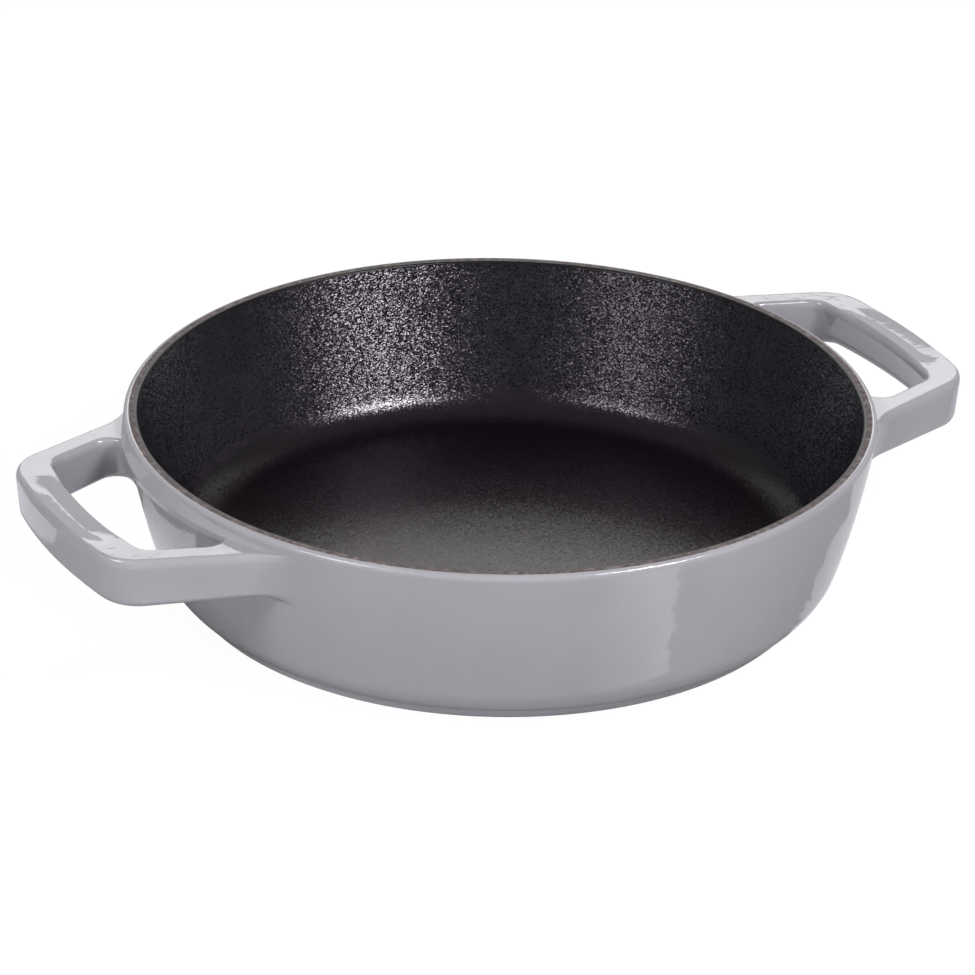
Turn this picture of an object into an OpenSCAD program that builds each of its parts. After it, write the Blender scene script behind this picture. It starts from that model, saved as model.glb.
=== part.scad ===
// Low round pan in cast iron with two loop handles, enamelled inside and out.
// The origin is the centre of the foot, on the surface that the pan stands on.
// Z points up, and the handles lie along X.

/* [Pan body] */
// Diameter over the wall at the rim
rim_d = 260; // [200:1:320]
// Height from the foot to the top of the rim
pan_h = 62.4; // [50:0.2:90]
// Radius of the bow of the wall, seen from the side
wall_bow_r = 320; // [220:1:500]
// Lean of the wall at the rim, in degrees from upright
wall_lean = 8.1; // [4:0.1:12]
// Radius of the outer corner from the wall to the base
corner_r = 17.3; // [10:0.1:22]
// Radius of the rounded outer edge of the rim
rim_round_r = 1.8; // [1.2:0.1:2.4]
// Thickness of the wall, with its lining
wall_t = 5; // [4:0.1:7]
// Thickness of the base over the recess, with its lining
base_t = 5; // [4:0.1:7]
// Radius of the fillet from the floor to the wall inside
floor_fillet_r = 15; // [8:0.5:20]
// Radius of the inner edge of the rim
lip_r = 0.9; // [0.7:0.1:1.2]

/* [Foot] */
// Distance from the rim's outside in to the side of the foot ring
foot_inset = 19.8; // [17:0.1:24]
// Width of the foot ring
foot_w = 7; // [4:0.5:12]
// Height of the recess inside the foot ring
foot_h = 1; // [0.6:0.1:2]
// Bevel at the foot ring's outer edge
foot_bevel = 0.6; // [0.2:0.1:1]

/* [Handles] */
// Clear gap from the rim's outside to the grip bar, at the middle
grip_gap = 25.7; // [20:0.1:35]
// Clear width between the arms where they meet the grip bar
grip_span = 71.6; // [60:0.2:90]
// Width of the grip bar at the middle
bar_w = 13.8; // [12:0.1:20]
// Depth of the grip bar from top to bottom
bar_h = 18; // [15:0.5:21]
// Radius of the outward bow of the grip bar
bar_bow_r = 210; // [150:1:400]
// Width of each arm
arm_w = 9.2; // [8:0.1:12]
// Depth of each arm at the wall
arm_h = 16.8; // [15:0.1:20]
// Depth of each arm at the grip bar
corner_h = 17.8; // [15:0.1:21]
// Angle by which each arm spreads towards the wall
arm_splay = 18.9; // [12:0.1:22]
// Drop from the top of the rim to the top of the handles
handle_drop = 4.7; // [4:0.1:8]
// Radius of the outer corners of a handle
corner_out_r = 16.8; // [12:0.1:18]
// Radius of the window's corners beside the grip bar
corner_in_r = 7.4; // [5:0.1:10]
// Radius of the fillet from each arm's outside to the wall
root_out_r = 26; // [12:1:32]
// Radius of the fillet from each arm's inside to the wall
root_in_r = 6.9; // [4:0.1:8]
// Width of the rounding along a handle's upper edges
edge_w = 1.7; // [1:0.1:2.2]
// Height of that rounding
edge_h = 3; // [1:0.1:4]
// Radius of the lower edges of the arms
arm_under_r = 2.7; // [1.2:0.1:3]
// Radius of the lower edges of the grip bar
bar_under_r = 3.9; // [2:0.1:4]
// Draft of the arms and of the grip bar's outside, over their depth
side_draft = 1; // [0.4:0.1:1.4]
// Draft of the grip bar's inside, over its depth
grip_draft = 4.4; // [1:0.1:4.6]
// Depth of the shallow dish in the top of the grip bar
dish_depth = 0.6; // [0.2:0.1:1]
// Length of the dish along the grip bar
dish_span = 58; // [40:1:66]

/* [Lip over the window] */
// How far the lip between the arms stands out past the rim
lip_out = 2.6; // [1.4:0.1:3]
// Drop from the top of the rim to the lip's lower edge
lip_drop = 7; // [6:0.1:10]
// How far the lip's centre lies from the pan's, which fades it out sideways
lip_shift = 20; // [16:0.5:24]
// Height of the lip's upright face
lip_face = 2.2; // [1:0.1:3]

/* [Coats] */
// Thickness of the gloss coat on the wall and the handles
gloss_t = 0.5; // [0.3:0.05:0.6]
// Thickness of the matte lining
lining_t = 0.5; // [0.3:0.05:0.6]

/* [Hidden] */
$fn = 180;
rim_r = rim_d / 2;
foot_r = rim_r - foot_inset;
floor_z = foot_h + base_t;
// Steps along the arcs of the revolved profiles and of the handles' outlines
corner_steps = 8;
wall_steps = 12;
edge_steps = 6;
root_steps = 6;
bend_steps = 6;
bow_steps = 4;
round_steps = 3;
dish_steps = 4;
// Depth by which a handle's ends run into the wall before they are cut
embed = 6;
// Depth by which a root fillet sinks under the wall's surface where it runs out
sink = 0.15;
// Depth by which the lip's back sinks into the wall
lip_sink = 2.5;
// Depth of the ring that the lip is cut from
lip_depth = 10;
// Half angle of the arc that holds the lip
lip_half_angle = 40;
iron_colour = [0.30, 0.30, 0.31];
gloss_colour = [0.63, 0.62, 0.65];
lining_colour = [0.09, 0.085, 0.09];
band_colour = [0.42, 0.38, 0.37];

function arc(centre, r, from, to, steps) = [
    for (i = [0:steps])
        let (a = from + (to - from) * i / steps)
            centre + r * [cos(a), sin(a)]
];
function reversed(list) = [for (i = [len(list) - 1:-1:0]) list[i]];
function bearing(p) = atan2(p[1], p[0]);
function unit(a) = [cos(a), sin(a)];
// Angle, in degrees, of a length along a circle of radius r
function turn_of(length, r) = length / r * 180 / PI;

// Section of the wall: the bow's centre, and the rounded rim tangent to it
shoulder_z = pan_h - rim_round_r - rim_round_r * sin(wall_lean);
bow_c = [rim_r, shoulder_z] - wall_bow_r * unit(-wall_lean);
rim_c = [rim_r, shoulder_z] - rim_round_r * unit(-wall_lean);

// Centre, at height z, of an arc that touches a circle of radius r about bow_c
function touching(r, z) = [bow_c[0] + sqrt(r * r - (z - bow_c[1]) * (z - bow_c[1])), z];
corner_c = touching(wall_bow_r - corner_r, foot_h + corner_r);
corner_a = bearing(corner_c - bow_c);
fillet_c = touching(wall_bow_r - wall_t - floor_fillet_r, floor_z + floor_fillet_r);
fillet_a = bearing(fillet_c - bow_c);
lip_c = touching(wall_bow_r - wall_t + lip_r, pan_h - lip_r);
lip_a = bearing(lip_c - bow_c);

// Where the corner's arc, set in by g, meets the side of the foot ring
function groove(g) =
    let (x = foot_r - g - corner_c[0])
        [foot_r - g, corner_c[1] - sqrt((corner_r - g) * (corner_r - g) - x * x)];

// Outside of the pan from the foot ring to the top of the rim, set in by g
function outside(g) = concat(
    arc(corner_c, corner_r - g, bearing(groove(g) - corner_c), corner_a, corner_steps),
    arc(bow_c, wall_bow_r - g, corner_a - (corner_a + wall_lean) / wall_steps, -wall_lean, wall_steps - 1),
    arc(rim_c, rim_round_r - g, -wall_lean + (90 + wall_lean) / edge_steps, 90, edge_steps - 1)
);
function lip_edge(g) = arc(lip_c, lip_r - g, 90, 180 + lip_a, edge_steps);
// Inside of the pan from under the rim to the middle of the floor, set into the iron by g
function inside(g) = concat(
    arc(bow_c, wall_bow_r - wall_t + g, lip_a, fillet_a, wall_steps),
    arc(fillet_c, floor_fillet_r + g, fillet_a - (fillet_a + 90) / corner_steps, -90, corner_steps - 1),
    [[0, floor_z - g]]
);
// Underside of the pan from its middle to the foot ring's outer edge, set in by g
function underside(g) = [
    [0, foot_h + g],
    [foot_r - foot_w + g, foot_h + g],
    [foot_r - foot_w + foot_h + g, g],
    [foot_r - foot_bevel - g, g],
    [foot_r - g, foot_bevel + g]
];

module turned(outline) {
    rotate_extrude() polygon(outline);
}

// The pan's outside as a filled solid, set in by g
module filled_pan(g) {
    turned(concat(underside(g), outside(g), [[0, pan_h - g]]));
}

// Radius of the pan's outside at height z, on the bow or the corner
function wall_r(z) =
    z > corner_c[1] + corner_r * sin(corner_a)
        ? bow_c[0] + sqrt(wall_bow_r * wall_bow_r - (z - bow_c[1]) * (z - bow_c[1]))
        : corner_c[0] + sqrt(corner_r * corner_r - (z - corner_c[1]) * (z - corner_c[1]));

// Plan of a handle: each arm's side is a line, given by its distance from the
// pan's axis along the arm's normal, and each end of the grip bar is a bend
bar_in = rim_r + grip_gap;
bar_out = bar_in + bar_w;
bar_in_bow_r = bar_bow_r - bar_w / 2;
arm_n = unit(90 - arm_splay);
arm_d = unit(180 - arm_splay);
arm_in = [bar_in, grip_span / 2] * arm_n;
arm_out = arm_in + arm_w;
out_bow_c = [bar_out - bar_bow_r, 0];
in_bow_c = [bar_in - bar_in_bow_r, 0];
// Centre of an arc at distance k along the normal and at distance r from a point
function beside(k, about, r) =
    let (rise = k - about * arm_n)
        about + rise * arm_n - sqrt(r * r - rise * rise) * arm_d;
out_bend_c = beside(arm_out - corner_out_r, out_bow_c, bar_bow_r - corner_out_r);
in_bend_c = beside(arm_in - corner_in_r, in_bow_c, bar_in_bow_r - corner_in_r);
out_bend_a = bearing(out_bend_c - out_bow_c);
in_bend_a = bearing(in_bend_c - in_bow_c);
arm_a = 90 - arm_splay;

// One station of the plan, from 0 inside the wall to last at the bar's middle.
// e is the draft and rounding there, g the set-in for the iron, r the wall's radius
last = root_steps + bend_steps + bow_steps + 2;
first_bend = root_steps + 2;
first_bow = first_bend + bend_steps;
function out_point(i, e, g, r) =
    let (
        c = beside(arm_out - e + root_out_r, [0, 0], r + root_out_r),
        wall_a = bearing(c) - 180,
        share = (i - 1) / root_steps,
        bend = (i - first_bend) / bend_steps,
        bow = (i - first_bow) / bow_steps
    )
        i == 0 ? (r - embed) * unit(bearing(c) - turn_of(g, r))
        : i <= root_steps + 1
            ? c + (root_out_r + g) * unit(wall_a + (arm_a - 180 - wall_a) * share)
        : i <= first_bow
            ? out_bend_c + (corner_out_r - e - g) * unit(arm_a + (out_bend_a - arm_a) * bend)
            : out_bow_c + (bar_bow_r - e - g) * unit(out_bend_a * (1 - bow));
function in_point(i, e, g, r) =
    let (
        c = beside(arm_in + e - root_in_r, [0, 0], r + root_in_r),
        wall_a = bearing(c) + 180,
        share = (i - 1) / root_steps,
        bend = (i - first_bend) / bend_steps,
        bow = (i - first_bow) / bow_steps
    )
        i == 0 ? (r - embed) * unit(bearing(c) + turn_of(g, r))
        : i <= root_steps + 1
            ? c + (root_in_r + g) * unit(wall_a + (arm_a - wall_a) * share)
        : i <= first_bow
            ? in_bend_c + (corner_in_r + e + g) * unit(arm_a + (in_bend_a - arm_a) * bend)
            : in_bow_c + (bar_in_bow_r + e + g) * unit(in_bend_a * (1 - bow));

// Share of the grip bar's form at a station: 0 on an arm, 1 on the bar
function bar_share(i) =
    let (s = max(0, min(1, (i - first_bend) / bend_steps)))
        s * s * (3 - 2 * s);
function blend(a, b, s) = a + (b - a) * s;
// Share of the dish at a distance y along the bar: 1 at the middle, 0 past its ends
function dish_share(y) =
    let (s = max(0, min(1, 2 - 4 * abs(y) / dish_span)))
        s * s * (3 - 2 * s);

top_z = pan_h - handle_drop;
// One side of a station's section, from the top edge down: pairs of set-in and depth
function side_line(r_under, draft, h, g) = concat(
    [for (j = [0:round_steps])
        let (a = 90 * j / round_steps)
            [edge_w - (edge_w - g) * sin(a) - g, edge_h - (edge_h - g) * cos(a)]],
    [for (j = [0:round_steps])
        let (a = 90 * j / round_steps)
            [draft + r_under - (r_under - g) * cos(a) - g, h - r_under + (r_under - g) * sin(a)]]
);
// The ring of points at one station of the half with y above zero
function ring(i, g) =
    let (
        s = bar_share(i),
        h = i < first_bend ? arm_h : blend(corner_h, bar_h, s),
        under = blend(arm_under_r, bar_under_r, s),
        outer = side_line(under, side_draft, h, g),
        inner = side_line(under, blend(side_draft, grip_draft, s), h, g),
        outer_ring = [
            for (p = outer)
                let (q = out_point(i, p[0], g, wall_r(top_z - p[1]) - sink))
                    [q[0], q[1], top_z - p[1]]
        ],
        inner_ring = [
            for (p = inner)
                let (q = in_point(i, p[0], g, wall_r(top_z - p[1]) - sink))
                    [q[0], q[1], top_z - p[1]]
        ],
        a = inner_ring[0],
        b = outer_ring[0],
        dip = dish_depth * s * dish_share((a[1] + b[1]) / 2)
    )
        concat(
            outer_ring,
            reversed(inner_ring),
            [for (k = [1:dish_steps - 1])
                let (t = k / dish_steps)
                    blend(a, b, t) - [0, 0, dip * (1 - cos(360 * t)) / 2]]
        );

// All the rings of a handle, from one end inside the wall to the other
function rings(g) =
    let (half = [for (i = [0:last]) ring(i, g)])
        concat(half, [for (i = [last - 1:-1:0]) [for (p = half[i]) [p[0], -p[1], p[2]]]]);
// Faces between neighbouring rings, n rings of m points from point number start
function side_faces(start, n, m) = [
    for (i = [0:n - 2]) for (j = [0:m - 1])
        let (a = start + i * m + j, b = start + i * m + (j + 1) % m)
            each [[a, b + m, a + m], [a, b, b + m]]
];
function turned_over(faces) = [for (f = faces) reversed(f)];

// A handle's arms and grip bar as one lofted solid, set in by g
module loop_loft(g) {
    r = rings(g);
    m = len(r[0]);
    n = len(r);
    polyhedron(
        points = [for (p = r) each p],
        faces = concat(
            side_faces(0, n, m),
            [[for (j = [m - 1:-1:0]) j], [for (j = [0:m - 1]) (n - 1) * m + j]]
        ),
        convexity = 6
    );
}

// The coat round that solid: a lofted tube of the coat's thickness
module loop_skin(g) {
    outer = rings(0);
    inner = rings(g);
    m = len(outer[0]);
    n = len(outer);
    core = n * m;
    end = (n - 1) * m;
    polyhedron(
        points = concat([for (p = outer) each p], [for (p = inner) each p]),
        faces = concat(
            side_faces(0, n, m),
            turned_over(side_faces(core, n, m)),
            [for (j = [0:m - 1])
                let (k = (j + 1) % m)
                    each [
                        [j, core + j, core + k],
                        [j, core + k, k],
                        [end + j, core + end + k, core + end + j],
                        [end + j, end + k, core + end + k]
                    ]]
        ),
        convexity = 10
    );
}

// The lip over the window: it stands proud of the wall and fades out sideways
module lip_form(g) {
    z_low = pan_h - lip_drop + g;
    z_high = shoulder_z - g;
    crest = rim_r + lip_out - lip_shift - g;
    back = rim_r - lip_shift - lip_depth;
    difference() {
        translate([lip_shift, 0, 0])
            rotate([0, 0, -lip_half_angle])
                rotate_extrude(angle = 2 * lip_half_angle)
                    polygon([
                        [back, z_high],
                        [rim_r - lip_shift - g - sink, z_high],
                        [crest, z_low + lip_face],
                        [crest, z_low],
                        [back, z_low]
                    ]);
        cylinder(h = 2 * pan_h, r = rim_r - lip_sink);
    }
}

// Both lips, one over each handle's window
module lips(g) {
    lip_form(g);
    rotate([0, 0, 180]) lip_form(g);
}

// What a handle runs into: the pan's outside and the lip, set in by g
module root_cut(g) {
    union() {
        filled_pan(g);
        lip_form(g);
    }
}

module pan_casting() {
    color(iron_colour) union() {
        turned(concat(underside(gloss_t), outside(gloss_t), lip_edge(lining_t), inside(lining_t)));
        lips(gloss_t);
    }
}

module handle_casting() {
    color(iron_colour) difference() {
        loop_loft(gloss_t);
        root_cut(gloss_t);
    }
}

module handle_enamel() {
    color(gloss_colour) difference() {
        loop_skin(gloss_t);
        root_cut(0);
    }
}

module wall_enamel() {
    color(gloss_colour) difference() {
        union() {
            turned(concat(outside(0), reversed(outside(gloss_t))));
            difference() {
                lips(0);
                filled_pan(gloss_t);
            }
        }
        lips(gloss_t);
        loop_loft(gloss_t);
        rotate([0, 0, 180]) loop_loft(gloss_t);
    }
}

module rim_band() {
    color(band_colour)
        turned(concat(
            [[rim_c[0], pan_h]],
            lip_edge(0),
            reversed(lip_edge(lining_t)),
            [[rim_c[0], pan_h - gloss_t]]
        ));
}

module matte_lining() {
    color(lining_colour)
        turned(concat(inside(0), reversed(inside(lining_t))));
}

module base_enamel() {
    color(gloss_colour)
        turned(concat(underside(0), [groove(0), groove(gloss_t)], reversed(underside(gloss_t))));
}

module left_handle_casting() {
    rotate([0, 0, 180]) handle_casting();
}

module right_handle_casting() {
    handle_casting();
}

module left_handle_enamel() {
    rotate([0, 0, 180]) handle_enamel();
}

module right_handle_enamel() {
    handle_enamel();
}

pan_casting();
left_handle_casting();
right_handle_casting();
wall_enamel();
left_handle_enamel();
right_handle_enamel();
rim_band();
matte_lining();
base_enamel();
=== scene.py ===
from math import atan2, cos, hypot, pi, radians, sin, sqrt

import bmesh
import bpy
from mathutils import Matrix, Vector


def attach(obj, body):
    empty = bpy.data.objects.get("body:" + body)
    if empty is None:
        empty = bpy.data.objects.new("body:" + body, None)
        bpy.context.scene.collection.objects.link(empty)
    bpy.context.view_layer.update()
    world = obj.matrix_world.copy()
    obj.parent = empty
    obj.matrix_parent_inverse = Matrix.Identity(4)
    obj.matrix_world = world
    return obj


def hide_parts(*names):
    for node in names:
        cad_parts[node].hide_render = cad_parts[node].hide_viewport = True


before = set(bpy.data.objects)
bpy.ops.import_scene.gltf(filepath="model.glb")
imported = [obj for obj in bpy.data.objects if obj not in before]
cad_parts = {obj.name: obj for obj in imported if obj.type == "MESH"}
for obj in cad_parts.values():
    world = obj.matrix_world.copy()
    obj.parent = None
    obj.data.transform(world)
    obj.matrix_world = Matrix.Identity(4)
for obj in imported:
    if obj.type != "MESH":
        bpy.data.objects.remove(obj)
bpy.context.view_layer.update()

# --- Camera ---------------------------------------------------------------
# The pan is seen from a little over 26 degrees above the table through a
# long lens, with its handles turned 28.6 degrees from the picture plane.
MM = 0.001
handle_turn = radians(28.611)
camera_rise = radians(26.081)
camera_roll = radians(1.039)
camera_distance = 1603.48
aim_side = -4.046
aim_height = 30.929
to_pan_axes = Matrix.Rotation(-handle_turn, 3, "Z")
camera_place = Vector((
    aim_side,
    -camera_distance * cos(camera_rise),
    aim_height + camera_distance * sin(camera_rise),
)) * MM
sight = Vector((0, cos(camera_rise), -sin(camera_rise)))
level_right = Vector((1, 0, 0))
level_up = Vector((0, sin(camera_rise), cos(camera_rise)))
rolled_right = level_right * cos(camera_roll) + level_up * sin(camera_roll)
rolled_up = level_up * cos(camera_roll) - level_right * sin(camera_roll)
bpy.ops.object.camera_add(location=to_pan_axes @ camera_place)
camera = bpy.context.object
camera.name = "camera"
camera_axes = Matrix((to_pan_axes @ rolled_right, to_pan_axes @ rolled_up, to_pan_axes @ -sight))
camera.rotation_euler = camera_axes.transposed().to_euler()
camera.data.sensor_width = 36
camera.data.lens = 169.92
camera.data.shift_x = 0.0001
camera.data.shift_y = -0.0009
camera.data.clip_end = 20
bpy.context.scene.camera = camera

# --- Gloss coat of the wall -----------------------------------------------
# The outside of the bowl carries a coat of gloss vitreous enamel, fired on.
# It covers the bowed wall, the low lip over each handle's window and the
# rounded outer edge of the rim, and stops at the groove above the foot.
pan_h = 62.4
rim_r = 130
widest = 129.98
coat_t = 0.5
wall_bow_r = 320
wall_lean = radians(8.1)
corner_r = 17.3
rim_round_r = 1.8
foot_r = 110.2
foot_h = 1
shoulder_z = pan_h - rim_round_r - rim_round_r * sin(wall_lean)
bow_c = (rim_r - wall_bow_r * cos(wall_lean), shoulder_z + wall_bow_r * sin(wall_lean))
rim_c = (rim_r - rim_round_r * cos(wall_lean), shoulder_z + rim_round_r * sin(wall_lean))


def touching_bow(r, z):
    """Centre, at height z, of an arc that touches the circle of radius r about the bow's centre."""
    return (bow_c[0] + sqrt(r * r - (z - bow_c[1]) ** 2), z)


def bearing(point, about):
    return atan2(point[1] - about[1], point[0] - about[0])


def arc(centre, r, start, end, steps):
    """Points along an arc from the angle start to the angle end."""
    turns = [start + (end - start) * i / steps for i in range(steps + 1)]
    return [(centre[0] + r * cos(a), centre[1] + r * sin(a)) for a in turns]


corner_c = touching_bow(wall_bow_r - corner_r, foot_h + corner_r)
corner_a = bearing(corner_c, bow_c)
bow_low = corner_c[1] + corner_r * sin(corner_a)


def wall_r(z):
    """Radius of the wall's outside at height z."""
    if z > bow_low:
        return bow_c[0] + sqrt(wall_bow_r ** 2 - (z - bow_c[1]) ** 2)
    return corner_c[0] + sqrt(max(0, corner_r ** 2 - (z - corner_c[1]) ** 2))


def groove(g):
    """Where the corner's arc, set in by g, meets the side of the foot ring."""
    x = foot_r - g - corner_c[0]
    return (foot_r - g, corner_c[1] - sqrt((corner_r - g) ** 2 - x * x))


def wall_section(g, heights):
    """Section of the wall's outside, set in by g, from the groove up to the top of the rim."""
    low = arc(corner_c, corner_r - g, bearing(groove(g), corner_c), corner_a, 14)
    bow = [(bow_c[0] + sqrt((wall_bow_r - g) ** 2 - (z - bow_c[1]) ** 2), z) for z in heights]
    high = arc(rim_c, rim_round_r - g, -wall_lean, pi / 2, 16)
    return low + bow + [(min(x, widest - g), z) for x, z in high]


def pick(piece):
    """Makes a piece the only selected one, and the active one."""
    for other in bpy.context.selected_objects:
        other.select_set(False)
    piece.select_set(True)
    bpy.context.view_layer.objects.active = piece


def edit(piece):
    pick(piece)
    bpy.ops.object.mode_set(mode="EDIT")


def smooth(piece, degrees_sharp):
    """Smooth shading, with a crisp edge where two faces meet at more than the angle."""
    pick(piece)
    bpy.ops.object.shade_smooth_by_angle(angle=radians(degrees_sharp))


def turn_on_wheel(name, section, steps):
    """Draws a section point by point, closes it off the axis, and spins it about the pan's axis."""
    same_place = 1e-6
    bpy.ops.mesh.primitive_plane_add(size=MM, location=(0, 0, 0))
    piece = bpy.context.object
    piece.name = name
    edit(piece)
    bpy.ops.mesh.merge(type="CENTER")
    here = section[0]
    bpy.ops.transform.translate(value=(here[0] * MM, 0, here[1] * MM))
    for there in section[1:]:
        step = ((there[0] - here[0]) * MM, 0, (there[1] - here[1]) * MM)
        bpy.ops.mesh.extrude_region_move(TRANSFORM_OT_translate={"value": step})
        here = there
    drawn = bmesh.from_edit_mesh(piece.data)
    ends = [v for v in drawn.verts if len(v.link_edges) == 1]
    if min(abs(v.co.x) for v in ends) > same_place:
        bpy.ops.mesh.select_all(action="DESELECT")
        for v in ends:
            v.select_set(True)
        drawn.select_flush_mode()
        bpy.ops.mesh.edge_face_add()
    bpy.ops.mesh.select_all(action="SELECT")
    bpy.ops.mesh.spin(steps=steps, angle=2 * pi, center=(0, 0, 0), axis=(0, 0, 1))
    bpy.ops.mesh.select_all(action="SELECT")
    bpy.ops.mesh.remove_doubles(threshold=same_place)
    bpy.ops.mesh.normals_make_consistent(inside=False)
    bpy.ops.object.mode_set(mode="OBJECT")
    return piece


lip_out = 2.6
lip_shift = 20
lip_low = pan_h - 7
lip_crest = lip_low + 2.2
lip_top = 61.65
lip_slope = 0.721
lip_half_angle = radians(42)
crest_fillet = 0.15
wall_fillet = 0.35
rim_fillet = 0.1
fine_from = 53
fine_step = 0.2
coarse_steps = 22
fine_steps = int((shoulder_z - fine_from) / fine_step)
coarse_rise = fine_from - bow_low
bow_heights = [bow_low + coarse_rise * (i + 1) / coarse_steps for i in range(coarse_steps)]
bow_heights += [fine_from + fine_step * (i + 1) for i in range(fine_steps)]
outer_section = wall_section(0, bow_heights)
inner_section = wall_section(coat_t, bow_heights[::3])
wall_coat = turn_on_wheel("wall_gloss_coat", outer_section + inner_section[::-1], 360)


def soft_greater(a, b, k):
    """The greater of two lengths, with a small fillet of size k where they cross."""
    share = max(0, k - abs(a - b)) / k
    return max(a, b) + share * share * k / 4


def skin_r(z):
    """Radius of the outside at height z, with the rim's rounding."""
    if z < shoulder_z:
        return wall_r(z)
    return rim_c[0] + sqrt(max(0, rim_round_r ** 2 - (z - rim_c[1]) ** 2))


def lip_r(z, angle):
    """Radius of the lip over a window at height z: a cone, a rounded crest and an upright face."""
    upright = rim_r + lip_out
    cone = upright - lip_slope * (z - lip_crest)
    reach = cone + upright - soft_greater(cone, upright, crest_fillet)
    off = reach - lip_shift
    return lip_shift * cos(angle) + sqrt(off * off - (lip_shift * sin(angle)) ** 2)


# Both lips are pulled out of the wall's own skin, as one surface with it. The
# points of the coat's inner face lie deeper than the skin and stay in place
skin_depth = 0.1
slack = 0.01
edit(wall_coat)
shell = bmesh.from_edit_mesh(wall_coat.data)
for v in shell.verts:
    r, z = hypot(v.co.x, v.co.y) / MM, v.co.z / MM
    angle = atan2(v.co.y, abs(v.co.x))
    beside_window = lip_low - slack <= z <= lip_top and abs(angle) < lip_half_angle
    if beside_window and r > skin_r(z) - skin_depth:
        fillet = wall_fillet if z < shoulder_z else rim_fillet
        out = soft_greater(skin_r(z), lip_r(z, angle), fillet)
        v.co.x *= out / r
        v.co.y *= out / r
bmesh.update_edit_mesh(wall_coat.data)
bpy.ops.object.mode_set(mode="OBJECT")
smooth(wall_coat, 40)

# A Mix node's colour sockets share their names with others, so they go by number
MIX_A, MIX_B, MIX_OUT = 6, 7, 2


def empty_tree(tree):
    """Clears a node tree, and gives a function that adds a node to it with its values."""
    tree.nodes.clear()

    def add(kind, **values):
        made = tree.nodes.new(kind)
        for key, value in values.items():
            if hasattr(made, key):
                setattr(made, key, value)
            else:
                made.inputs[key.replace("_", " ")].default_value = value
        return made

    return add


def fresh_material(name):
    """A material with an empty node tree, and the function that adds to it."""
    material = bpy.data.materials.new(name)
    material.use_nodes = True
    return material, material.node_tree, empty_tree(material.node_tree)


def colour_ramp(add, *stops):
    """A ramp through stops, each a position and a colour that may have an alpha."""
    made = add("ShaderNodeValToRGB")
    points = made.color_ramp.elements
    for point, (position, colour) in ((points[0], stops[0]), (points[1], stops[-1])):
        point.position = position
        point.color = (*colour, 1)[:4]
    for position, colour in stops[1:-1]:
        points.new(position).color = (*colour, 1)[:4]
    return made


def wire(tree, *rows):
    """Joins nodes. Each row has a node and its outlet, then a node and its inlet."""
    for source, outlet, target, inlet in rows:
        tree.links.new(source.outputs[outlet], target.inputs[inlet])


def gloss_enamel(name):
    """Gloss vitreous enamel: a glassy grey with waves, orange peel, faint clouds and pinholes."""
    material, tree, add = fresh_material(name)
    place = add("ShaderNodeTexCoord")
    clouds = add("ShaderNodeTexNoise", Scale=26.0, Detail=3.0, Roughness=0.55)
    tint = colour_ramp(add, (0.36, (0.352, 0.342, 0.375)), (0.66, (0.375, 0.365, 0.398)))
    specks = add("ShaderNodeTexVoronoi", Scale=420.0)
    speck_size = add("ShaderNodeMapRange", From_Min=0.03, From_Max=0.09, To_Min=0.93, To_Max=1.0)
    fleck = add("ShaderNodeMix", data_type="RGBA", blend_type="MULTIPLY", Factor=1.0)
    polish = add("ShaderNodeMapRange", To_Min=0.045, To_Max=0.1)
    waves = add("ShaderNodeTexNoise", Scale=55.0, Detail=3.0, Roughness=0.42)
    peel = add("ShaderNodeTexNoise", Scale=240.0, Detail=2.0, Roughness=0.5)
    wave_bump = add("ShaderNodeBump", Strength=1.0, Distance=0.00011)
    peel_bump = add("ShaderNodeBump", Strength=1.0, Distance=0.00010)
    glass = add("ShaderNodeBsdfPrincipled", IOR=1.53)
    end = add("ShaderNodeOutputMaterial")
    wire(
        tree,
        *((place, "Object", texture, "Vector") for texture in (clouds, specks, waves, peel)),
        (clouds, "Fac", tint, "Fac"),
        (specks, "Distance", speck_size, "Value"),
        (tint, "Color", fleck, MIX_A),
        (speck_size, "Result", fleck, MIX_B),
        (fleck, MIX_OUT, glass, "Base Color"),
        (clouds, "Fac", polish, "Value"),
        (polish, "Result", glass, "Roughness"),
        (waves, "Fac", wave_bump, "Height"),
        (peel, "Fac", peel_bump, "Height"),
        (wave_bump, "Normal", peel_bump, "Normal"),
        (peel_bump, "Normal", glass, "Normal"),
        (glass, "BSDF", end, "Surface"),
    )
    return material


wall_coat.data.materials.append(gloss_enamel("wall_gloss_enamel"))
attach(wall_coat, "root")
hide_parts("wall_enamel")

# --- Gloss coats of the two handles ---------------------------------------
# Each loop handle is cast in one with the bowl and wears the same enamel.
# Two arms leave the wall in wide fillets and end in a bowed grip bar, which
# has a shallow dish in its top with a crisp edge along either side.
bar_in = rim_r + 25.7
bar_w = 13.8
bar_out = bar_in + bar_w
bar_bow_r = 210
bar_h = 18
arm_w = 9.2
arm_h = 16.8
corner_h = 17.8
arm_splay = radians(18.9)
arm_bend_y = 35.8
handle_top = pan_h - 4.7
corner_out_r = 16.8
corner_in_r = 7.4
root_out_r = 26
root_in_r = 6.9
root_tuck = 0.3
root_sink = 0.03
edge_w = 1.7
edge_h = 3.0
arm_under_r = 2.7
bar_under_r = 3.9
side_draft = 1.0
grip_draft = 4.4
dish_depth = 0.95
dish_span = 58
dish_power = 1.2
grip_flat = 0.6
top_flare = 1.0
under_flare = 3.0
arm_a = pi / 2 - arm_splay
arm_n = Vector((cos(arm_a), sin(arm_a)))
arm_d = Vector((cos(pi - arm_splay), sin(pi - arm_splay)))
arm_in = Vector((bar_in, arm_bend_y)).dot(arm_n)
arm_out = arm_in + arm_w
out_bow_c = Vector((bar_out - bar_bow_r, 0))
in_bow_r = bar_bow_r - bar_w / 2
in_bow_c = Vector((bar_in - in_bow_r, 0))


def polar(r, angle):
    return Vector((r * cos(angle), r * sin(angle)))


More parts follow.
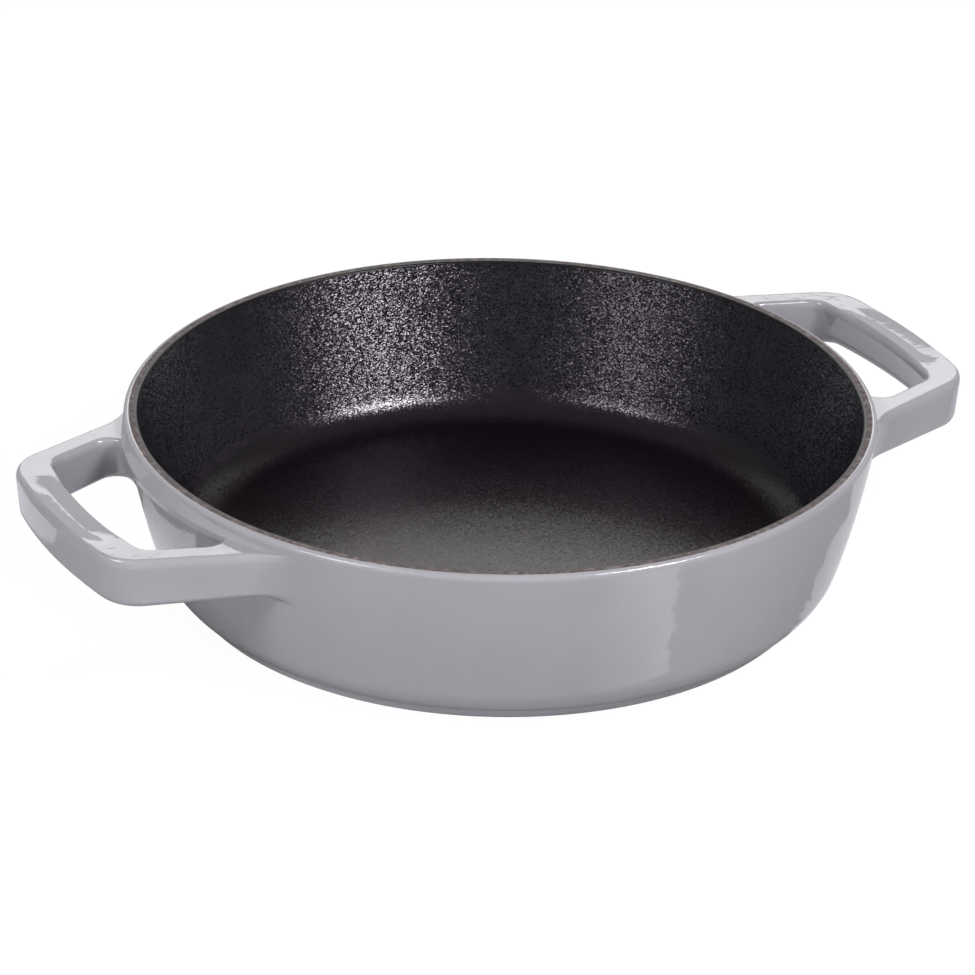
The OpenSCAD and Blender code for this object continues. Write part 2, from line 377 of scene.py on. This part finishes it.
def blend(a, b, share):
    return a + (b - a) * share


def between(row_a, row_b, share):
    return [blend(a, b, share) for a, b in zip(row_a, row_b)]


def ease(share):
    share = max(0.0, min(1.0, share))
    return share * share * (3 - 2 * share)


def beside(k, about, r):
    """Centre of an arc at distance k along an arm's normal and at distance r from a point."""
    rise = k - about.dot(arm_n)
    return about + arm_n * rise - arm_d * sqrt(r * r - rise * rise)


def loop_side(sign, arm_k, root_r, bend_r, bar_c, bar_r):
    """One side of the loop in plan, as a function for its points. The outer side's sign is -1."""
    root_a = arm_a + min(sign, 0) * pi
    bend_c = beside(arm_k - bend_r, bar_c, bar_r - bend_r)
    bend_a = bearing(bend_c, bar_c)

    def point(part, u, e, r):
        """Point at the share u of a part, set in by e, where the wall has the radius r."""
        e *= sign
        root_c = beside(arm_k + e - sign * root_r, Vector((0, 0)), r + root_r)
        root_bearing = bearing(root_c, (0, 0))
        if part == "wall":
            return polar(r - root_tuck, root_bearing)
        if part == "root":
            return root_c + polar(root_r, blend(root_bearing + sign * pi, root_a, u))
        if part == "arm":
            arm_start = root_c + polar(root_r, root_a)
            return blend(arm_start, bend_c + polar(bend_r + e, arm_a), u)
        if part == "bend":
            return bend_c + polar(bend_r + e, blend(arm_a, bend_a, u))
        return bar_c + polar(bar_r + e, bend_a * (1 - u))

    return point


outer_point = loop_side(-1, arm_out, root_out_r, corner_out_r, out_bow_c, bar_bow_r)
inner_point = loop_side(1, arm_in, root_in_r, corner_in_r, in_bow_c, in_bow_r)


rounding_steps = 12
flank_steps = 8


def side_line(under_r, draft, h, flat):
    """One side of a handle's section, from its top down: set-in, depth, shares of up and down."""
    high, low = [], []
    for j in range(rounding_steps + 1):
        a = pi / 2 * j / rounding_steps
        e = edge_w * blend(1 - sin(a), 1 - j / rounding_steps, flat)
        high.append((e, edge_h * blend(1 - cos(a), j / rounding_steps, flat), cos(a), 0))
        low.append((draft + under_r * (1 - cos(a)), h - under_r * (1 - sin(a)), 0, sin(a)))
    shares = [j / flank_steps for j in range(1, flank_steps)]
    middle = [(*between(high[-1][:2], low[0][:2], share), 0, 0) for share in shares]
    return high + middle + low


def flare(gap, r):
    """How far a fillet of radius r stands out at the distance gap from the wall."""
    gap = max(0.0, min(r, gap))
    return r - sqrt(r * r - (r - gap) ** 2)


bottom_steps = 8
top_steps = 24


def handle_ring(part, u):
    """The ring of points of the handle's skin at one station of the half with y above zero."""
    share = {"wall": 0, "root": 0, "arm": 0, "bend": ease(u), "bow": 1}[part]
    if part == "arm":
        h = blend(arm_h, corner_h, u)
    elif part in ("wall", "root"):
        h = arm_h
    else:
        h = blend(corner_h, bar_h, share)
    under_r = blend(arm_under_r, bar_under_r, share)
    along = abs(inner_point(part, u, 0, rim_r).y + outer_point(part, u, 0, rim_r).y) / 2
    grip = share * ease(2 - 4 * along / dish_span)
    inner_draft = blend(side_draft, grip_draft, share)
    sides = []
    for point, draft in ((outer_point, side_draft), (inner_point, inner_draft)):
        line = []
        for e, painted_floor_cast, up, down in side_line(under_r, draft, h, grip * grip_flat):
            q = point(part, u, e, wall_r(handle_top - painted_floor_cast) - root_sink)
            line.append([q.x, q.y, handle_top - painted_floor_cast, up, down])
        sides.append(line)
    outer, inner = sides
    bottom = [between(outer[-1], inner[-1], i / bottom_steps) for i in range(1, bottom_steps)]
    top = [between(inner[0], outer[0], i / top_steps) for i in range(1, top_steps)]
    for i, p in enumerate(top, 1):
        p[2] -= dish_depth * grip * (1 - abs(2 * i / top_steps - 1) ** dish_power)
    ring = []
    for x, y, z, up, down in outer + bottom + inner[::-1] + top:
        gap = hypot(x, y) - wall_r(z)
        foot_z = z + up * flare(gap, top_flare) - down * flare(gap, under_flare)
        follow = (wall_r(foot_z) + gap) / hypot(x, y)
        ring.append(Vector((x * follow, y * follow, foot_z)))
    return ring


# Stations stand closer together where an arm's root leaves the wall
root_steps = 26
root_crowding = 1.25
arm_steps = 10
bend_steps = 20
bow_steps = 22
stations = [("wall", 0)]
stations += [("root", (i / root_steps) ** root_crowding) for i in range(root_steps + 1)]
stations += [("arm", i / arm_steps) for i in range(1, arm_steps)]
stations += [("bend", i / bend_steps) for i in range(bend_steps + 1)]
stations += [("bow", i / bow_steps) for i in range(1, bow_steps + 1)]
half = [handle_ring(part, u) for part, u in stations]
rings = half + [[Vector((p.x, -p.y, p.z)) for p in ring] for ring in half[-2::-1]]


def draw_handle(name, side):
    """Extrudes the ring from station to station round the loop, then thickens the skin."""
    bpy.ops.mesh.primitive_circle_add(vertices=len(rings[0]), radius=10 * MM, location=(0, 0, 0))
    piece = bpy.context.object
    piece.name = name
    edit(piece)
    skin = bmesh.from_edit_mesh(piece.data)
    for ring in rings:
        if ring is not rings[0]:
            bpy.ops.mesh.extrude_region_move(TRANSFORM_OT_translate={"value": (0, 0, 0)})
            skin = bmesh.from_edit_mesh(piece.data)
        skin.verts.ensure_lookup_table()
        for v, p in zip(skin.verts[-len(ring):], ring):
            v.co = Vector((p.x * side, p.y * side, p.z)) * MM
    bmesh.update_edit_mesh(piece.data)
    skin.normal_update()
    highest = max(skin.faces, key=lambda f: f.calc_center_median().z + MM * abs(f.normal.z))
    bpy.ops.mesh.select_all(action="SELECT")
    if highest.normal.z < 0:
        bpy.ops.mesh.flip_normals()
    bpy.ops.object.mode_set(mode="OBJECT")
    coat = piece.modifiers.new("coat", "SOLIDIFY")
    coat.thickness = coat_t * MM
    coat.offset = -1
    bpy.ops.object.modifier_apply(modifier=coat.name)
    smooth(piece, 12)
    return piece


for side, place in ((-1, "left"), (1, "right")):
    handle_coat = draw_handle(place + "_handle_gloss_coat", side)
    handle_coat.data.materials.append(gloss_enamel(place + "_handle_gloss_enamel"))
    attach(handle_coat, "root")
    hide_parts(place + "_handle_enamel")

# --- Ground coat on the rim -----------------------------------------------
# The top of the rim is left with the thin taupe ground coat, because the pan
# is fired and stacked on it. The gloss coat ends beside it in a low edge.
wall_t = 5
lip_round_r = 0.9
lip_c = touching_bow(wall_bow_r - wall_t + lip_round_r, pan_h - lip_round_r)
lip_a = bearing(lip_c, bow_c)


def rim_section(g):
    """Section of the rim's top, set in by g, from the gloss coat to where the lining begins."""
    return [(rim_c[0], pan_h - g)] + arc(lip_c, lip_round_r - g, pi / 2, pi + lip_a, 10)


rim_coat = turn_on_wheel("rim_ground_coat", rim_section(0) + rim_section(coat_t)[::-1], 360)
smooth(rim_coat, 40)


def ground_coat():
    """Thin ground coat: mottled satin taupe, with the lining's black run over its inner edge."""
    material, tree, add = fresh_material("rim_ground_enamel")
    place = add("ShaderNodeTexCoord")
    mottle = add("ShaderNodeTexNoise", Scale=420.0, Detail=4.0, Roughness=0.65)
    dark, taupe, pale = (0.042, 0.030, 0.029), (0.105, 0.080, 0.080), (0.24, 0.19, 0.19)
    tint = colour_ramp(add, (0.32, dark), (0.52, taupe), (0.72, pale))
    split = add("ShaderNodeSeparateXYZ")
    level = add("ShaderNodeCombineXYZ")
    radius = add("ShaderNodeVectorMath", operation="LENGTH")
    ragged = add("ShaderNodeTexNoise", Scale=95.0, Detail=5.0, Roughness=0.6)
    sway = add("ShaderNodeMath", operation="MULTIPLY_ADD")
    sway.inputs[1].default_value = 0.0021
    black_edge = add("ShaderNodeMapRange", From_Min=0.12720, From_Max=0.12735)
    coats = add("ShaderNodeMix", data_type="RGBA")
    coats.inputs[MIX_A].default_value = (0.006, 0.005, 0.0056, 1)
    grains = add("ShaderNodeTexNoise", Scale=1300.0, Detail=2.0, Roughness=0.6)
    wear = add("ShaderNodeMapRange", To_Min=0.32, To_Max=0.6)
    relief = add("ShaderNodeBump", Strength=1.0, Distance=0.00005)
    skin = add("ShaderNodeBsdfPrincipled", IOR=1.4)
    end = add("ShaderNodeOutputMaterial")
    wire(
        tree,
        *((place, "Object", texture, "Vector") for texture in (mottle, grains, ragged, split)),
        (split, "X", level, "X"),
        (split, "Y", level, "Y"),
        (level, "Vector", radius, 0),
        (ragged, "Fac", sway, 0),
        (radius, "Value", sway, 2),
        (sway, "Value", black_edge, "Value"),
        (mottle, "Fac", tint, "Fac"),
        (black_edge, "Result", coats, "Factor"),
        (tint, "Color", coats, MIX_B),
        (coats, MIX_OUT, skin, "Base Color"),
        (black_edge, "Result", wear, "Value"),
        (wear, "Result", skin, "Roughness"),
        (grains, "Fac", relief, "Height"),
        (relief, "Normal", skin, "Normal"),
        (skin, "BSDF", end, "Surface"),
    )
    return material


rim_coat.data.materials.append(ground_coat())
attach(rim_coat, "root")
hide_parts("rim_band")

# --- Matte lining ---------------------------------------------------------
# The inside has a black matte enamel, sprayed on and fired so that a fine
# grain stays in it, over the wall, the wide fillet and the flat floor.
floor_z = 6
fillet_r = 15
fillet_c = touching_bow(wall_bow_r - wall_t - fillet_r, floor_z + fillet_r)
fillet_a = bearing(fillet_c, bow_c)
floor_rings = 12


def lining_section(g):
    """Section of the inside, set into the iron by g, from under the rim to the floor's middle."""
    wall = arc(bow_c, wall_bow_r - wall_t + g, lip_a, fillet_a, 20)
    turn = arc(fillet_c, fillet_r + g, fillet_a, -pi / 2, 20)
    floor_radii = [fillet_c[0] * (1 - i / floor_rings) for i in range(1, floor_rings + 1)]
    return wall + turn[1:] + [(r, floor_z - g) for r in floor_radii]


lining = turn_on_wheel("matte_lining_coat", lining_section(0) + lining_section(coat_t)[::-1], 240)
smooth(lining, 40)


def matte_enamel():
    """Matte black enamel with tiny tilted facets that break lamps up into sparkles. On the floor
    its near-black colour carries a painted plum cast, which stands in for the plum tint of the
    floor's sheen.
    """
    material, tree, add = fresh_material("matte_black_enamel")
    place = add("ShaderNodeTexCoord")
    surface = add("ShaderNodeNewGeometry")
    tone = add("ShaderNodeTexNoise", Scale=120.0, Detail=3.0, Roughness=0.6)
    tint = colour_ramp(add, (0.35, (0.0070, 0.0062, 0.0092)), (0.68, (0.0110, 0.0098, 0.0140)))
    # The floor's colour is the enamel's near-black with a painted plum cast, standing in for the
    # plum tint of its sheen
    painted_floor_cast = add("ShaderNodeMix", data_type="RGBA")
    painted_floor_cast.inputs[MIX_A].default_value = (0.0036, 0.0006, 0.0031, 1)
    height = add("ShaderNodeSeparateXYZ")
    steep = add("ShaderNodeMapRange", From_Min=0.006, From_Max=0.022)
    sprayed = add("ShaderNodeMapping", Scale=(1, 1, 1.6))
    facets = add("ShaderNodeTexVoronoi", Scale=1900.0)
    # Each facet's own random colour, spread about zero, is the way it tilts
    tilts = add("ShaderNodeVectorMath", operation="MULTIPLY_ADD")
    tilts.inputs[1].default_value = (2, 2, 2)
    tilts.inputs[2].default_value = (-1, -1, -0.5)
    # From the floor up to the wall: the tilts' reach in x, y and z, and the roughness as alpha
    reach = colour_ramp(
        add,
        (0.03, (0.08, 0.08, 0.06, 0.32)),
        (0.12, (0.08, 0.08, 0.08, 0.25)),
        (0.4, (0.08, 0.08, 0.08, 0.2)),
        (0.58, (0.12, 0.12, 0.34, 0.25)),
        (0.8, (0.12, 0.12, 0.44, 0.26)),
    )
    tipped = add("ShaderNodeVectorMath", operation="MULTIPLY_ADD")
    facing = add("ShaderNodeVectorMath", operation="NORMALIZE")
    sheen = add("ShaderNodeMapRange", To_Min=-0.04, To_Max=0.04)
    dulled = add("ShaderNodeMath", operation="ADD")
    skin = add("ShaderNodeBsdfPrincipled", IOR=1.48, Specular_IOR_Level=0.65)
    skin.inputs["Specular Tint"].default_value = (0.98, 0.90, 1.0, 1)
    end = add("ShaderNodeOutputMaterial")
    wire(
        tree,
        *((place, "Object", texture, "Vector") for texture in (tone, sprayed, height)),
        (sprayed, "Vector", facets, "Vector"),
        (height, "Z", steep, "Value"),
        (steep, "Result", reach, "Fac"),
        (facets, "Color", tilts, 0),
        (tilts, "Vector", tipped, 0),
        (reach, "Color", tipped, 1),
        (surface, "Normal", tipped, 2),
        (tipped, "Vector", facing, 0),
        (facing, "Vector", skin, "Normal"),
        (tone, "Fac", tint, "Fac"),
        (steep, "Result", painted_floor_cast, "Factor"),
        (tint, "Color", painted_floor_cast, MIX_B),
        (painted_floor_cast, MIX_OUT, skin, "Base Color"),
        (tone, "Fac", sheen, "Value"),
        (sheen, "Result", dulled, 0),
        (reach, "Alpha", dulled, 1),
        (dulled, "Value", skin, "Roughness"),
        (skin, "BSDF", end, "Surface"),
    )
    return material


lining.data.materials.append(matte_enamel())
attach(lining, "root")
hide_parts("matte_lining")

# --- Gloss coat of the base -----------------------------------------------
# The underside is enamelled too: a low foot ring with bevelled edges carries
# the pan, and the round recess inside it stays clear of the hob.
foot_w = 7
foot_bevel = 0.6
recess_rings = 10


def base_section(g):
    """Section of the underside, set in by g, from its middle to the groove over the foot ring."""
    recess_r = foot_r - foot_w + g
    recess = [(recess_r * i / recess_rings, foot_h + g) for i in range(recess_rings + 1)]
    slope = [(foot_r - foot_w + foot_h + g, g)]
    side = [(foot_r - foot_bevel - g, g), (foot_r - g, foot_bevel + g), groove(g)]
    return recess + slope + side


base_coat = turn_on_wheel("base_gloss_coat", base_section(0) + base_section(coat_t)[::-1], 240)
smooth(base_coat, 25)
base_coat.data.materials.append(gloss_enamel("base_gloss_enamel"))
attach(base_coat, "root")
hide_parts("base_enamel")

# --- Iron under the coats -------------------------------------------------
# The bowl and the two loops are grey cast iron, poured in a sand mould. The
# coats hide them all over, and they keep the cast skin of the sand.


def cast_iron():
    """Cast iron as it leaves the sand: dark grey, grainy and a little mottled."""
    material, tree, add = fresh_material("cast_iron_skin")
    place = add("ShaderNodeTexCoord")
    grain = add("ShaderNodeTexNoise", Scale=900.0, Detail=5.0, Roughness=0.7)
    tint = colour_ramp(add, (0, (0.05, 0.05, 0.053)), (1, (0.15, 0.148, 0.15)))
    dull = add("ShaderNodeMapRange", To_Min=0.5, To_Max=0.8)
    relief = add("ShaderNodeBump", Strength=1.0, Distance=0.00025)
    skin = add("ShaderNodeBsdfPrincipled", Metallic=0.9)
    end = add("ShaderNodeOutputMaterial")
    wire(
        tree,
        (place, "Object", grain, "Vector"),
        (grain, "Fac", tint, "Fac"),
        (tint, "Color", skin, "Base Color"),
        (grain, "Fac", dull, "Value"),
        (dull, "Result", skin, "Roughness"),
        (grain, "Fac", relief, "Height"),
        (relief, "Normal", skin, "Normal"),
        (skin, "BSDF", end, "Surface"),
    )
    return material


iron_skin = cast_iron()
for name in ("pan_casting", "left_handle_casting", "right_handle_casting"):
    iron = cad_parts[name]
    if not iron.material_slots:
        iron.data.materials.append(iron_skin)
    for slot in iron.material_slots:
        slot.material = iron_skin

# --- Floor and light ------------------------------------------------------
# A plain white floor and a white sweep behind the pan. There are soft boxes
# on either side of the camera, a wide one behind that lights the tops, and low
# fills around the pan. Four white cards show as reflections in the gloss.
under_foot = (0, 0, -0.0002)
bpy.ops.mesh.primitive_grid_add(x_subdivisions=4, y_subdivisions=4, size=8, location=under_foot)
floor = bpy.context.object
floor.name = "floor"
paper, tree, add = fresh_material("white_paper")
path = add("ShaderNodeLightPath")
matt = add("ShaderNodeBsdfDiffuse", Color=(0.42, 0.42, 0.42, 1))
glow = add("ShaderNodeEmission", Strength=1.1)
share = add("ShaderNodeMath", operation="MULTIPLY")
share.inputs[1].default_value = 0.88
both = add("ShaderNodeMixShader")
end = add("ShaderNodeOutputMaterial")
wire(
    tree,
    (path, "Is Camera Ray", share, 0),
    (share, "Value", both, 0),
    (matt, "BSDF", both, 1),
    (glow, "Emission", both, 2),
    (both, "Shader", end, "Surface"),
)
floor.data.materials.append(paper)

world = bpy.data.worlds.new("studio")
bpy.context.scene.world = world
world.use_nodes = True
tree = world.node_tree
add = empty_tree(tree)
path = add("ShaderNodeLightPath")
way = add("ShaderNodeTexCoord")
behind = add("ShaderNodeVectorMath", operation="DOT_PRODUCT")
behind.inputs[1].default_value = to_pan_axes @ Vector((0, 1, 0))
sweep = add("ShaderNodeMapRange", From_Min=0.52, From_Max=0.56, To_Min=0.22, To_Max=0.8)
mirrored = add("ShaderNodeMix", A=0.12)
seen = add("ShaderNodeMix", B=1.0)
sky = add("ShaderNodeBackground", Color=(1, 1, 1, 1))
end = add("ShaderNodeOutputWorld")
wire(
    tree,
    (way, "Generated", behind, 0),
    (behind, "Value", sweep, "Value"),
    (path, "Is Glossy Ray", mirrored, "Factor"),
    (sweep, "Result", mirrored, "B"),
    (path, "Is Camera Ray", seen, "Factor"),
    (mirrored, "Result", seen, "A"),
    (seen, "Result", sky, "Strength"),
    (sky, "Background", end, "Surface"),
)

pan_middle = Vector((0, 0, 0.03))


def soft_box(name, around, rise, distance, size, brightness, ends=1):
    """A soft box aimed at the pan, whose light falls to the share `ends` at both ends.

    The angle around turns from the camera's side to its right. The sizes are width and height.
    """
    around, rise = radians(around), radians(rise)
    toward = Vector((sin(around) * cos(rise), -cos(around) * cos(rise), sin(rise)))
    spot = to_pan_axes @ toward * distance + pan_middle
    bpy.ops.object.light_add(type="AREA", location=spot)
    lamp = bpy.context.object
    lamp.name = name
    lamp.rotation_euler = (spot - pan_middle).to_track_quat("Z", "Y").to_euler()
    lamp.data.shape = "RECTANGLE"
    lamp.data.size, lamp.data.size_y = size
    lamp.data.energy = brightness * pi * size[0] * size[1]
    lamp.visible_camera = False
    lamp.data.use_nodes = True
    tree = lamp.data.node_tree
    add = empty_tree(tree)
    spread = add("ShaderNodeNewGeometry")
    across = add("ShaderNodeSeparateXYZ")
    even, dim = (1, 1, 1), (ends, ends, ends)
    fade = colour_ramp(add, (0, dim), (0.42, even), (0.58, even), (1, dim))
    glow = add("ShaderNodeEmission")
    end = add("ShaderNodeOutputLight")
    wire(
        tree,
        (spread, "Parametric", across, "Vector"),
        (across, "X", fade, "Fac"),
        (fade, "Color", glow, "Strength"),
        (glow, "Emission", end, "Surface"),
    )
    return lamp


low_fills = (("front_fill", 0, 2.85), ("back_fill", 180, 3.6), ("left_fill", -75, 0.65))
soft_box("left_soft_box", -50, 37, 1.3, (0.7, 0.28), 13, 0)
soft_box("left_high_fill", -50, 37, 1.4, (0.75, 0.3), 5, 0).visible_glossy = False
soft_box("right_soft_box", 51, 45, 1.3, (0.7, 0.28), 31, 0)
soft_box("right_glint", 51, 45, 1.2, (0.65, 0.26), 6, 0).visible_diffuse = False
soft_box("back_soft_box", 180, 27, 1.3, (1.1, 0.23), 2.4)
for name, around, brightness in low_fills:
    soft_box(name, around, 8, 1.3, (2.4, 0.4), brightness).visible_glossy = False


def in_view(x, y, z=0):
    """A place given in millimetres to the camera's right, away from it and up."""
    return to_pan_axes @ Vector((x, y, z)) * MM


def card(name, corners, from_edge, to_edge, from_glow, to_glow):
    """A white card beside the pan, seen only in reflections. Its glow changes from edge to edge."""
    bpy.ops.mesh.primitive_circle_add(
        vertices=len(corners), radius=MM, fill_type="NGON", location=(0, 0, 0)
    )
    sheet = bpy.context.object
    sheet.name = name
    lift = 0.4
    for v, (x, y) in zip(sheet.data.vertices, corners):
        v.co = in_view(x, y, lift)
    sheet.visible_camera = sheet.visible_diffuse = sheet.visible_shadow = False
    white, tree, add = fresh_material(name + "_white")
    way = in_view(*to_edge) - in_view(*from_edge)
    start = in_view(*from_edge).dot(way)
    stop = start + way.dot(way)
    place = add("ShaderNodeTexCoord")
    along = add("ShaderNodeVectorMath", operation="DOT_PRODUCT")
    along.inputs[1].default_value = way
    ramp = add("ShaderNodeMapRange", From_Min=start, From_Max=stop)
    ramp.inputs["To Min"].default_value = from_glow
    ramp.inputs["To Max"].default_value = to_glow
    glow = add("ShaderNodeEmission", Color=(0.95, 0.95, 1.0, 1))
    end = add("ShaderNodeOutputMaterial")
    wire(
        tree,
        (place, "Object", along, 0),
        (along, "Value", ramp, "Value"),
        (ramp, "Result", glow, "Strength"),
        (glow, "Emission", end, "Surface"),
    )
    sheet.data.materials.append(white)


def torn(corners):
    """A line of corners with small waves in it, as a hand-cut card has."""
    step = 2
    line = []
    for (x0, y0), (x1, y1) in zip(corners, corners[1:]):
        length = hypot(x1 - x0, y1 - y0)
        for i in range(int(length / step)):
            t = step * i / length
            wave = 1.6 * sin(1.7 * len(line)) + 1.4 * sin(0.6 * len(line))
            x = blend(x0, x1, t) + wave * (y0 - y1) / length
            y = blend(y0, y1, t) + wave * (x1 - x0) / length
            line.append((x, y))
    return line + [corners[-1]]


front_edge = torn([(67, -110), (100, -133), (150, -166)])
card("front_card", [(30, -122)] + front_edge + [(60, -190)], (45, -150), (86, -126), 0.38, 1.8)
right_edge = torn([(104, -56), (112, -48), (137, -27), (153, -9), (158, 22), (220, 40)])
card("right_card", right_edge + [(320, 320), (70, 320), (70, 85)], (0, 0), (1, 0), 0.8, 0.8)
left_corners = [(-300, -28), (-205, -28), (-180, 110), (-300, 110)]
card("left_card", left_corners, (0, 0), (1, 0), 1, 1)
window_edge = torn([(-116, -48), (-106, -8), (-122, 34)])
card("window_card", window_edge + [(-160, 34), (-160, -48)], (-116, -48), (-122, 34), 1.4, 0.5)
bpy.context.scene.view_settings.view_transform = "Standard"
